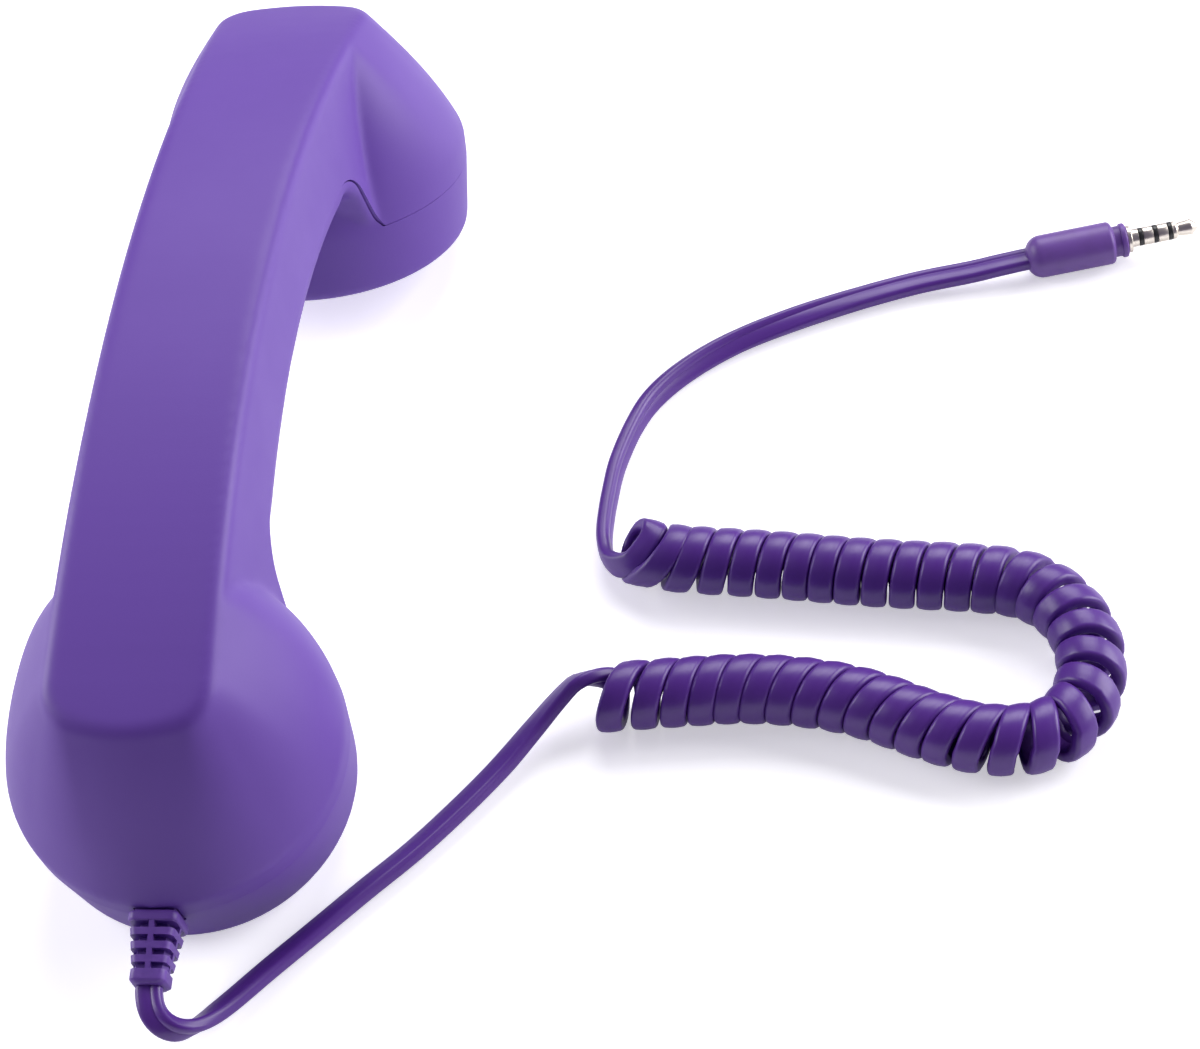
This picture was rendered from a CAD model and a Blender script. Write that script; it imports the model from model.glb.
"""Studio scene of a purple telephone handset with a curly cord and a headset plug.

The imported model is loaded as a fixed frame. Each sub-assembly below builds the fine
surface of its own pieces in that frame, in metres, and dresses them.
"""
import logging
import math
from dataclasses import dataclass, field
from enum import Enum
from typing import Optional, Sequence

import bmesh
import bpy
from mathutils import Matrix, Vector


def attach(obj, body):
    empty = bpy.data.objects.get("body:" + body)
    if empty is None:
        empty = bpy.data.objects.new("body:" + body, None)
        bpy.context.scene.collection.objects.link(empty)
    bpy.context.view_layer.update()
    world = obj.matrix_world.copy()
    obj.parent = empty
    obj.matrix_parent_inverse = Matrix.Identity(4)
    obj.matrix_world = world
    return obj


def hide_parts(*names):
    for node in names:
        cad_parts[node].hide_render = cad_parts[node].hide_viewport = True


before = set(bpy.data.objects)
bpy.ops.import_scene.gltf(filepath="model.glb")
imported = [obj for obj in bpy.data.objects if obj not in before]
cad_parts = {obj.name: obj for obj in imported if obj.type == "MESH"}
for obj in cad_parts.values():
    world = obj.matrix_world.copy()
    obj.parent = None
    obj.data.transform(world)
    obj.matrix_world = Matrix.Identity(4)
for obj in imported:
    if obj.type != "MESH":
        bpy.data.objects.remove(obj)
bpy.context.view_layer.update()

LOG = logging.getLogger("handset")
MM = 0.001
SOFT_EDGE = 0.05 * MM
X_AXIS = Vector((1, 0, 0))
Z_AXIS = Vector((0, 0, 1))
ROOT_BODY = "handset"
BUTTON_BODY = "button"

Ring = list[Vector]
Pair = tuple[float, float]
Colour = tuple[float, float, float, float]


# ---------------------------------------------------------------- mesh helpers


class Join(Enum):
    """How one closed form is combined with another."""

    UNION = "UNION"
    DIFFERENCE = "DIFFERENCE"
    INTERSECT = "INTERSECT"


def shown(name: str, shape: bmesh.types.BMesh, outward: bool = True) -> bpy.types.Object:
    """Turns a bmesh into an object at the origin.

    Args:
        name: The piece's name.
        shape: The finished bmesh, which is freed.
        outward: Whether the normals are recalculated to point outwards.

    Returns:
        The new object, linked to the scene.
    """
    if outward:
        bmesh.ops.recalc_face_normals(shape, faces=shape.faces)
    mesh = bpy.data.meshes.new(name)
    shape.to_mesh(mesh)
    shape.free()
    piece = bpy.data.objects.new(name, mesh)
    bpy.context.scene.collection.objects.link(piece)
    return piece


def settle(piece: bpy.types.Object) -> bpy.types.Object:
    """Applies a piece's modifiers to its mesh.

    Args:
        piece: The object whose modifiers are applied.

    Returns:
        The same object, with a plain mesh.
    """
    bpy.context.view_layer.update()
    graph = bpy.context.evaluated_depsgraph_get()
    mesh = bpy.data.meshes.new_from_object(piece.evaluated_get(graph))
    piece.modifiers.clear()
    old = piece.data
    piece.data = mesh
    bpy.data.meshes.remove(old)
    return piece


def drop(piece: bpy.types.Object) -> None:
    """Removes a working object and its mesh."""
    mesh = piece.data
    bpy.data.objects.remove(piece, do_unlink=True)
    bpy.data.meshes.remove(mesh)


def combine(target: bpy.types.Object, tool: bpy.types.Object, how: Join = Join.DIFFERENCE) -> None:
    """Changes a closed form by another one, which is then removed.

    Args:
        target: The form that is changed.
        tool: The form that changes it.
        how: Union, difference or intersection.
    """
    step = target.modifiers.new(how.name.title(), "BOOLEAN")
    step.operation = how.value
    step.solver = "EXACT"
    step.object = tool
    settle(target)
    drop(tool)


def rows_of_rings(name: str, rings: Sequence[Ring], split_caps: bool = True,
                  with_uv: bool = False) -> bpy.types.Object:
    """Lays a grid over rings of equal count and closes its seam and ends.

    Args:
        name: The piece's name.
        rings: The rings, each point by point with the next.
        split_caps: Whether an end is filled in strips from its right to its left half,
            for rings whose point i mirrors point n - 1 - i across x = 0.
        with_uv: Whether the grid keeps a UV map, round the ring and along the rows.

    Returns:
        A closed form.
    """
    count = len(rings[0])
    shape = bmesh.new()
    if with_uv:
        shape.loops.layers.uv.new("UVMap")
    made = bmesh.ops.create_grid(shape, x_segments=count, y_segments=len(rings) - 1,
                                 size=1.0, calc_uvs=with_uv)
    rows = sorted(made["verts"], key=lambda v: (round(v.co.y, 6), round(v.co.x, 6)))
    across = count + 1
    for index, vert in enumerate(rows):
        vert.co = rings[index // across][index % across % count]
    first = rows[:count]
    last = rows[-across:-1]
    bmesh.ops.weld_verts(shape, targetmap={
        rows[k * across + count]: rows[k * across] for k in range(len(rings))})
    for loop in (first, last):
        edges = [shape.edges.get((loop[i], loop[(i + 1) % count])) for i in range(count)]
        if split_caps:
            half = count // 2
            bmesh.ops.bridge_loops(shape, edges=edges[:half - 1] + edges[half:count - 1])
        else:
            bmesh.ops.edgeloop_fill(shape, edges=edges)
    return shown(name, shape)


def placement(origin: Vector, axis: Vector) -> Matrix:
    """A matrix whose Z runs along the axis and whose X stays level.

    Args:
        origin: Where the matrix puts the origin.
        axis: The direction of its Z.

    Returns:
        The 4 x 4 matrix.
    """
    up = axis.normalized()
    side = X_AXIS if abs(up.x) < 0.9 else Vector((0, 1, 0))
    across = up.cross(side).normalized()
    side = across.cross(up)
    turn = Matrix((side, across, up)).transposed().to_4x4()
    return Matrix.Translation(origin) @ turn


def rod(name: str, start: Vector, end: Vector, radius: float, sides: int = 32) -> bpy.types.Object:
    """A round bar from one point to another.

    Args:
        name: The object's name.
        start: The middle of its first end.
        end: The middle of its last end.
        radius: Its radius.
        sides: How many sides it has.

    Returns:
        The closed bar.
    """
    shape = bmesh.new()
    axis = end - start
    bmesh.ops.create_cone(shape, cap_ends=True, segments=sides, depth=axis.length, radius1=radius,
                          radius2=radius, matrix=placement((start + end) / 2, axis))
    return shown(name, shape)


def spun(name: str, origin: Vector, axis: Vector, profile: Sequence[Pair],
         steps: int = 64, closed: bool = False) -> bpy.types.Object:
    """Spins a profile of (radius, height) pairs about an axis.

    Args:
        name: The object's name.
        origin: A point on the axis, at height zero.
        axis: The direction of the axis.
        profile: The profile's points, in order.
        steps: How many steps make a full turn.
        closed: Whether the profile closes on itself, as for a ring.

    Returns:
        The closed turned form.
    """
    shape = bmesh.new()
    verts = [shape.verts.new((radius, 0, height)) for radius, height in profile]
    edges = [shape.edges.new(pair) for pair in zip(verts, verts[1:])]
    if closed:
        edges.append(shape.edges.new((verts[-1], verts[0])))
    bmesh.ops.spin(shape, geom=verts + edges, cent=(0, 0, 0), axis=(0, 0, 1),
                   angle=2 * math.pi, steps=steps, use_merge=True)
    bmesh.ops.remove_doubles(shape, verts=shape.verts, dist=1e-6)
    bmesh.ops.transform(shape, matrix=placement(origin, axis), verts=shape.verts)
    return shown(name, shape)


def block(name: str, start: Vector, end: Vector, up: Vector, half_x: float, half_up: float,
          edge: float = 0.0) -> bpy.types.Object:
    """A block from one point to another, with rounded edges.

    Args:
        name: The object's name.
        start: The middle of its first end.
        end: The middle of its last end.
        up: The direction of its height.
        half_x: Half its width across X.
        half_up: Half its height.
        edge: The radius of its edges.

    Returns:
        The closed block.
    """
    along = end - start
    turn = Matrix((X_AXIS, up.normalized(), X_AXIS.cross(up).normalized())).transposed().to_4x4()
    size = Matrix.Diagonal((2 * half_x, 2 * half_up, along.length, 1))
    shape = bmesh.new()
    bmesh.ops.create_cube(shape, size=1, matrix=Matrix.Translation((start + end) / 2) @ turn @ size)
    if edge:
        bmesh.ops.bevel(shape, geom=list(shape.edges), offset=edge, segments=3, profile=0.5,
                        affect="EDGES", material=-1)
    return shown(name, shape)


def merged(name: str, parts: Sequence[bpy.types.Object]) -> bpy.types.Object:
    """Puts several closed forms into one object without combining them.

    Args:
        name: The new object's name.
        parts: The forms, which are removed.

    Returns:
        The object that holds them all.
    """
    shape = bmesh.new()
    for part in parts:
        shape.from_mesh(part.data)
        drop(part)
    return shown(name, shape, outward=False)


def one_skin(piece: bpy.types.Object, voxel: float, rounds: int) -> bpy.types.Object:
    """Grows one even skin round overlapping forms and eases its creases.

    Args:
        piece: The object that holds the forms.
        voxel: The size of the new skin's faces.
        rounds: How many rounds of smoothing ease the creases.

    Returns:
        The same object with its new mesh.
    """
    skin = piece.modifiers.new("Skin", "REMESH")
    skin.mode = "VOXEL"
    skin.voxel_size = voxel
    settle(piece)
    shape = bmesh.new()
    shape.from_mesh(piece.data)
    for _ in range(rounds):
        bmesh.ops.smooth_vert(shape, verts=shape.verts, factor=0.5, use_axis_x=True,
                              use_axis_y=True, use_axis_z=True)
    shape.to_mesh(piece.data)
    shape.free()
    return piece


def shade(piece: bpy.types.Object, angle: float = 35.0) -> None:
    """Shades a piece smooth, with its edges sharp from an angle in degrees."""
    piece.data.shade_smooth()
    piece.data.set_sharp_from_angle(angle=math.radians(angle))


def flow(points: Sequence[Vector], step: float) -> list[Vector]:
    """Points along a smooth curve through the given ones.

    Args:
        points: The points that the curve passes through.
        step: About how far apart the new points are.

    Returns:
        The curve's points, first and last included.
    """
    padded = [2 * points[0] - points[1]] + list(points) + [2 * points[-1] - points[-2]]
    line = []
    for a, b, c, d in zip(padded, padded[1:], padded[2:], padded[3:]):
        parts = max(1, round((c - b).length / step))
        for k in range(parts):
            t = k / parts
            line.append(0.5 * (2 * b + (c - a) * t + (2 * a - 5 * b + 4 * c - d) * t ** 2
                               + (3 * b - a - 3 * c + d) * t ** 3))
    return line + [points[-1]]


def arc(middle: Pair, radius: float, first: float, last: float, steps: int) -> list[Pair]:
    """Points along an arc.

    Args:
        middle: Its centre.
        radius: Its radius.
        first: The angle in degrees at which it starts.
        last: The angle in degrees at which it ends.
        steps: How many steps it takes.

    Returns:
        The points, both ends included.
    """
    turns = [math.radians(first + (last - first) * k / steps) for k in range(steps + 1)]
    return [(middle[0] + radius * math.cos(turn), middle[1] + radius * math.sin(turn)) for turn in turns]


def mirrored(right: Sequence[Vector]) -> Ring:
    """A ring whose left half mirrors its right half across x = 0."""
    return list(right) + [Vector((-point.x, point.y, point.z)) for point in reversed(right)]


def distances(points: Sequence[Vector]) -> list[float]:
    """How far along a line each of its points lies."""
    lengths = [0.0]
    for a, b in zip(points, points[1:]):
        lengths.append(lengths[-1] + (b - a).length)
    return lengths


def heading_at(points: Sequence[Vector], i: int) -> Vector:
    """The way a line runs at its point i."""
    return (points[min(i + 1, len(points) - 1)] - points[max(i - 1, 0)]).normalized()


def between(marks: Sequence[Pair], at: float) -> float:
    """The value that a row of marks gives at a place."""
    for (low, first), (high, last) in zip(marks, marks[1:]):
        if at <= high:
            return first + (last - first) * (at - low) / (high - low)
    return marks[-1][1]


def ease(t: float) -> float:
    """A smooth step from 0 to 1."""
    t = min(max(t, 0.0), 1.0)
    return t * t * (3 - 2 * t)


# ---------------------------------------------------------------- materials


Socket = bpy.types.NodeSocket
DUST: Colour = (0.75, 0.7, 0.82, 1)


class Sheet:
    """A node tree under construction, with short calls for nodes and links."""

    def __init__(self, tree: bpy.types.NodeTree) -> None:
        """Keeps the tree that the nodes go into."""
        self.tree = tree

    def node(self, kind: str, **values: object) -> bpy.types.Node:
        """Adds a node.

        Args:
            kind: The node's type.
            **values: Its properties, by name.

        Returns:
            The new node.
        """
        made = self.tree.nodes.new(kind)
        for name, value in values.items():
            setattr(made, name, value)
        return made

    def feed(self, target: Socket, source: object) -> None:
        """Links a socket, or sets its value.

        Args:
            target: The input socket.
            source: An output socket, or a plain value.
        """
        if isinstance(source, bpy.types.NodeSocket):
            self.tree.links.new(source, target)
        else:
            target.default_value = source

    def math(self, operation: str, *sources: object) -> Socket:
        """Adds a Math node and returns its output."""
        made = self.node("ShaderNodeMath", operation=operation)
        for target, source in zip(made.inputs, sources):
            self.feed(target, source)
        return made.outputs[0]

    def noise(self, vector: Socket, scale: object, detail: float = 2.0,
              roughness: float = 0.5) -> Socket:
        """Adds a Noise Texture.

        Args:
            vector: The coordinates.
            scale: Its scale, a value or a socket.
            detail: Its detail.
            roughness: Its roughness.

        Returns:
            Its factor output.
        """
        made = self.node("ShaderNodeTexNoise")
        self.feed(made.inputs["Vector"], vector)
        self.feed(made.inputs["Scale"], scale)
        made.inputs["Detail"].default_value = detail
        made.inputs["Roughness"].default_value = roughness
        return made.outputs["Fac"]

    def span(self, source: Socket, low: float, high: float, to_low: object = 0.0,
             to_high: object = 1.0) -> Socket:
        """Maps one range of values to another, with both ends held.

        Args:
            source: The values.
            low: The start of their range.
            high: The end of their range.
            to_low: The start of the new range.
            to_high: The end of the new range.

        Returns:
            The mapped output.
        """
        made = self.node("ShaderNodeMapRange", clamp=True)
        for name, value in (("Value", source), ("From Min", low), ("From Max", high),
                            ("To Min", to_low), ("To Max", to_high)):
            self.feed(made.inputs[name], value)
        return made.outputs["Result"]

    def blend(self, mask: object, first: object, second: object) -> Socket:
        """Mixes two colours by a mask.

        Args:
            mask: The mask, 0 for the first colour and 1 for the second.
            first: A colour or an output.
            second: A colour or an output.

        Returns:
            The mixed colour.
        """
        made = self.node("ShaderNodeMix", data_type="RGBA")
        self.feed(made.inputs["Factor"], mask)
        colours = [item for item in made.inputs if item.type == "RGBA"]
        self.feed(colours[0], first)
        self.feed(colours[1], second)
        return [item for item in made.outputs if item.type == "RGBA"][0]


def new_group(name: str, inputs: Sequence[tuple[str, float]],
              outputs: Sequence[str]) -> tuple[Sheet, bpy.types.Node, bpy.types.Node]:
    """Starts a shader node group with named float sockets.

    Args:
        name: The group's name.
        inputs: Names and default values of its inputs.
        outputs: Names of its outputs.

    Returns:
        The sheet to build on, the group's input node and its output node.
    """
    tree = bpy.data.node_groups.new(name, "ShaderNodeTree")
    for label, value in inputs:
        tree.interface.new_socket(label, in_out="INPUT", socket_type="NodeSocketFloat").default_value = value
    for label in outputs:
        tree.interface.new_socket(label, in_out="OUTPUT", socket_type="NodeSocketFloat")
    sheet = Sheet(tree)
    return sheet, sheet.node("NodeGroupInput"), sheet.node("NodeGroupOutput")


def moulded_grain() -> bpy.types.NodeTree:
    """The fine spark-eroded grain of a mould and the slow drift of its gloss.

    Returns:
        A group with the inputs Grain and Drift, and the outputs Height and Mottle.
    """
    sheet, given, result = new_group("moulded_grain", [("Grain", 2600.0), ("Drift", 34.0)],
                                     ["Height", "Mottle"])
    place = sheet.node("ShaderNodeTexCoord").outputs["Object"]
    fine = sheet.noise(place, given.outputs["Grain"], 3.0, 0.6)
    broad = sheet.noise(place, given.outputs["Drift"], 3.0, 0.55)
    sheet.feed(result.inputs["Height"], fine)
    sheet.feed(result.inputs["Mottle"], sheet.span(broad, 0.3, 0.7))
    return sheet.tree


def dust_specks() -> bpy.types.NodeTree:
    """Sparse pale specks of dust, each in its own cell.

    Returns:
        A group with the inputs Cells, Radius and Share, and the output Mask.
    """
    sheet, given, result = new_group(
        "dust_specks", [("Cells", 150.0), ("Radius", 0.05), ("Share", 0.03)], ["Mask"])
    place = sheet.node("ShaderNodeTexCoord").outputs["Object"]
    cells = sheet.node("ShaderNodeTexVoronoi", feature="F1")
    sheet.feed(cells.inputs["Vector"], place)
    sheet.feed(cells.inputs["Scale"], given.outputs["Cells"])
    near = sheet.math("LESS_THAN", cells.outputs["Distance"], given.outputs["Radius"])
    picked = sheet.node("ShaderNodeSeparateColor")
    sheet.feed(picked.inputs["Color"], cells.outputs["Color"])
    chosen = sheet.math("LESS_THAN", picked.outputs[0], given.outputs["Share"])
    sheet.feed(result.inputs["Mask"], sheet.math("MULTIPLY", near, chosen))
    return sheet.tree


def rubbed_edges() -> bpy.types.NodeTree:
    """A mask of convex edges, broken up by noise, where handling polishes a surface.

    Returns:
        A group with the inputs Reach and Breakup, and the output Mask.
    """
    sheet, given, result = new_group("rubbed_edges", [("Reach", 0.06), ("Breakup", 420.0)], ["Mask"])
    place = sheet.node("ShaderNodeTexCoord").outputs["Object"]
    bend = sheet.node("ShaderNodeNewGeometry").outputs["Pointiness"]
    over = sheet.math("SUBTRACT", bend, 0.5)
    edge = sheet.math("DIVIDE", over, given.outputs["Reach"])
    broken = sheet.noise(place, given.outputs["Breakup"], 2.0)
    mask = sheet.math("MULTIPLY", sheet.span(edge, 0.1, 1.0), sheet.span(broken, 0.3, 0.6))
    sheet.feed(result.inputs["Mask"], mask)
    return sheet.tree


def drawn_lines() -> bpy.types.NodeTree:
    """Faint lines that run along a drawn or turned surface, on its own UV map.

    Returns:
        A group with the inputs Across and Along, and the output Lines.
    """
    sheet, given, result = new_group("drawn_lines", [("Across", 60.0), ("Along", 2.0)], ["Lines"])
    parts = sheet.node("ShaderNodeSeparateXYZ")
    sheet.feed(parts.inputs["Vector"], sheet.node("ShaderNodeTexCoord").outputs["UV"])
    joined = sheet.node("ShaderNodeCombineXYZ")
    sheet.feed(joined.inputs["X"], sheet.math("MULTIPLY", parts.outputs["X"], given.outputs["Across"]))
    sheet.feed(joined.inputs["Y"], sheet.math("MULTIPLY", parts.outputs["Y"], given.outputs["Along"]))
    sheet.feed(result.inputs["Lines"], sheet.noise(joined.outputs["Vector"], 1.0, 2.0))
    return sheet.tree


def turned_rings() -> bpy.types.NodeTree:
    """Fine rings round the plug's axis, from its lathe.

    Returns:
        A group with the inputs Pitch and Heading, and the output Rings.
    """
    sheet, given, result = new_group("turned_rings", [("Pitch", 9000.0), ("Heading", 0.24)], ["Rings"])
    place = sheet.node("ShaderNodeTexCoord").outputs["Object"]
    parts = sheet.node("ShaderNodeSeparateXYZ")
    sheet.feed(parts.inputs["Vector"], place)
    cosine = sheet.math("COSINE", given.outputs["Heading"])
    sine = sheet.math("SINE", given.outputs["Heading"])
    along = sheet.math("ADD", sheet.math("MULTIPLY", parts.outputs["X"], cosine),
                       sheet.math("MULTIPLY", parts.outputs["Y"], sine))
    joined = sheet.node("ShaderNodeCombineXYZ")
    sheet.feed(joined.inputs["X"], sheet.math("MULTIPLY", along, given.outputs["Pitch"]))
    sheet.feed(result.inputs["Rings"], sheet.noise(joined.outputs["Vector"], 1.0, 1.0))
    return sheet.tree


class Effects:
    """The shared node groups, each built once."""

    def __init__(self) -> None:
        """Builds every group."""
        self.grain = moulded_grain()
        self.specks = dust_specks()
        self.rubbed = rubbed_edges()
        self.lines = drawn_lines()
        self.rings = turned_rings()


class Pattern(Enum):
    """What runs over a surface besides its grain."""

    PLAIN = "plain"
    DRAWN = "drawn"
    TURNED = "turned"


@dataclass(frozen=True)
class Finish:
    """One material: its two close colours, its gloss and the size of its grain."""

    name: str
    base: Colour
    shade: Colour
    rough: Pair
    grain: float = 2600.0
    drift: float = 34.0
    depth: float = 0.00002
    metallic: float = 0.0
    specks: float = 0.0
    edge: Optional[Colour] = None
    pattern: Pattern = Pattern.PLAIN
    specular: float = 0.5

    def build(self, effects: Effects) -> bpy.types.Material:
        """Makes the material.

        Args:
            effects: The shared node groups.

        Returns:
            The finished material.
        """
        made = bpy.data.materials.new(self.name)
        made.use_nodes = True
        sheet = Sheet(made.node_tree)
        shader = made.node_tree.nodes["Principled BSDF"]
        grain = sheet.node("ShaderNodeGroup", node_tree=effects.grain)
        grain.inputs["Grain"].default_value = self.grain
        grain.inputs["Drift"].default_value = self.drift
        mottle = grain.outputs["Mottle"]
        height = grain.outputs["Height"]
        colour = sheet.blend(mottle, self.base, self.shade)
        rough = sheet.span(mottle, 0.0, 1.0, *self.rough)
        if self.pattern is not Pattern.PLAIN:
            drawn = self.pattern is Pattern.DRAWN
            extra = sheet.node("ShaderNodeGroup", node_tree=effects.lines if drawn else effects.rings)
            height = sheet.math("ADD", height, extra.outputs[0])
            rough = sheet.math("ADD", rough, sheet.span(extra.outputs[0], 0.3, 0.7, -0.04, 0.04))
        if self.edge:
            rubbed = sheet.node("ShaderNodeGroup", node_tree=effects.rubbed)
            colour = sheet.blend(rubbed.outputs["Mask"], colour, self.edge)
        if self.specks:
            dust = sheet.node("ShaderNodeGroup", node_tree=effects.specks)
            dust.inputs["Share"].default_value = self.specks
            colour = sheet.blend(dust.outputs["Mask"], colour, DUST)
        bump = sheet.node("ShaderNodeBump")
        bump.inputs["Distance"].default_value = self.depth
        bump.inputs["Strength"].default_value = 1.0
        sheet.feed(bump.inputs["Height"], height)
        sheet.feed(shader.inputs["Base Color"], colour)
        sheet.feed(shader.inputs["Roughness"], rough)
        sheet.feed(shader.inputs["Normal"], bump.outputs["Normal"])
        shader.inputs["Metallic"].default_value = self.metallic
        shader.inputs["Specular IOR Level"].default_value = self.specular
        made.diffuse_color = self.base
        return made


SATIN_SHELL = Finish("satin_shell", (0.12, 0.048, 0.335, 1), (0.113, 0.045, 0.32, 1), (0.46, 0.54),
                     depth=0.000012, specks=0.012, edge=(0.13, 0.053, 0.362, 1), specular=0.45)
COVER_FACE = Finish("cover_face", (0.165, 0.078, 0.41, 1), (0.152, 0.07, 0.385, 1), (0.46, 0.56),
                    depth=0.00002, edge=(0.2, 0.1, 0.47, 1), specular=0.4)
CORD_VINYL = Finish("cord_vinyl", (0.09, 0.024, 0.25, 1), (0.079, 0.02, 0.225, 1), (0.32, 0.4),
                    grain=1700.0, drift=60.0, depth=0.00001, pattern=Pattern.DRAWN, specks=0.006)
BOOT_VINYL = Finish("boot_vinyl", (0.115, 0.044, 0.3, 1), (0.105, 0.039, 0.28, 1), (0.4, 0.48),
                    grain=2200.0, drift=90.0, depth=0.000015, edge=(0.15, 0.065, 0.36, 1))
GRIP_VINYL = Finish("grip_vinyl", (0.13, 0.056, 0.275, 1), (0.118, 0.05, 0.255, 1), (0.4, 0.48),
                    grain=2400.0, drift=80.0, depth=0.000015, edge=(0.18, 0.075, 0.41, 1), specks=0.01)
CHROME = Finish("bright_plating", (0.8, 0.74, 0.66, 1), (0.74, 0.68, 0.61, 1), (0.3, 0.36),
                grain=3000.0, drift=240.0, depth=0.000002, metallic=1.0, pattern=Pattern.TURNED)
BAND_PLASTIC = Finish("band_plastic", (0.012, 0.012, 0.014, 1), (0.02, 0.02, 0.022, 1), (0.3, 0.42),
                      depth=0.000008, drift=300.0)
BLACK_PLASTIC = Finish("black_plastic", (0.02, 0.02, 0.022, 1), (0.028, 0.028, 0.03, 1), (0.38, 0.5),
                       depth=0.00002, drift=160.0, edge=(0.06, 0.06, 0.065, 1))
ZINC_STEEL = Finish("zinc_steel", (0.6, 0.61, 0.64, 1), (0.5, 0.52, 0.56, 1), (0.28, 0.42),
                    grain=1800.0, drift=260.0, depth=0.00001, metallic=1.0, edge=(0.78, 0.78, 0.8, 1))
WEIGHT_STEEL = Finish("weight_steel", (0.42, 0.42, 0.43, 1), (0.34, 0.33, 0.33, 1), (0.4, 0.6),
                      grain=900.0, drift=60.0, depth=0.00003, metallic=1.0, edge=(0.6, 0.6, 0.62, 1))
FOAM = Finish("black_foam", (0.02, 0.02, 0.021, 1), (0.04, 0.04, 0.042, 1), (0.9, 1.0),
              grain=1500.0, drift=500.0, depth=0.00025)
CONE_FILM = Finish("cone_film", (0.52, 0.46, 0.33, 1), (0.46, 0.4, 0.28, 1), (0.35, 0.5),
                   grain=800.0, drift=120.0, depth=0.00003)
FERRITE = Finish("ferrite", (0.045, 0.045, 0.05, 1), (0.07, 0.068, 0.07, 1), (0.5, 0.7),
                 grain=1900.0, drift=300.0, depth=0.00003, edge=(0.13, 0.13, 0.14, 1))
RED_INSULATION = Finish("wire_insulation", (0.36, 0.025, 0.025, 1), (0.3, 0.02, 0.02, 1), (0.3, 0.42),
                        grain=1500.0, drift=200.0, depth=0.00001)
SOFT_RUBBER = Finish("soft_rubber", (0.03, 0.03, 0.032, 1), (0.045, 0.045, 0.048, 1), (0.7, 0.85),
                     grain=2000.0, drift=220.0, depth=0.00003)
CAPSULE_CAN = Finish("capsule_can", (0.74, 0.74, 0.76, 1), (0.66, 0.66, 0.69, 1), (0.25, 0.36),
                     grain=1200.0, drift=200.0, depth=0.00001, metallic=1.0)
LAMINATE = Finish("board_laminate", (0.02, 0.15, 0.055, 1), (0.03, 0.19, 0.075, 1), (0.35, 0.5),
                  grain=1400.0, drift=420.0, depth=0.00002, edge=(0.35, 0.33, 0.2, 1))


class Wardrobe:
    """Builds each finish once and gives it to pieces."""

    def __init__(self) -> None:
        """Builds the shared effects and starts with no materials."""
        self.effects = Effects()
        self.made: dict[str, bpy.types.Material] = {}

    def material(self, finish: Finish) -> bpy.types.Material:
        """The finish's material, made at its first use."""
        if finish.name not in self.made:
            self.made[finish.name] = finish.build(self.effects)
        return self.made[finish.name]

    def dress(self, piece: bpy.types.Object, finish: Finish) -> None:
        """Gives a piece one finish all over.

        Args:
            piece: The piece.
            finish: Its finish.
        """
        piece.data.materials.clear()
        piece.data.materials.append(self.material(finish))


WARDROBE = Wardrobe()


def seat(piece: bpy.types.Object, finish: Finish, slot: str, body: str,
         *nodes: str, angle: float = 35.0) -> bpy.types.Object:
    """Dresses a new piece, seats it on its body and lets it stand for its CAD nodes.

    Args:
        piece: The finished piece.
        finish: Its finish.
        slot: The record's material slot.
        body: The body that it rides on.
        *nodes: The CAD nodes that it stands for.
        angle: The angle in degrees from which its edges stay sharp.

    Returns:
        The same piece.
    """
    shade(piece, angle)
    WARDROBE.dress(piece, finish)
    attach(piece, body)
    if nodes:
        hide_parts(*nodes)
    LOG.info("%s: %d faces, rides on %s", piece.name, len(piece.data.polygons), body)
    return piece


# ---------------------------------------------------------------- the housing's form


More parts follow.
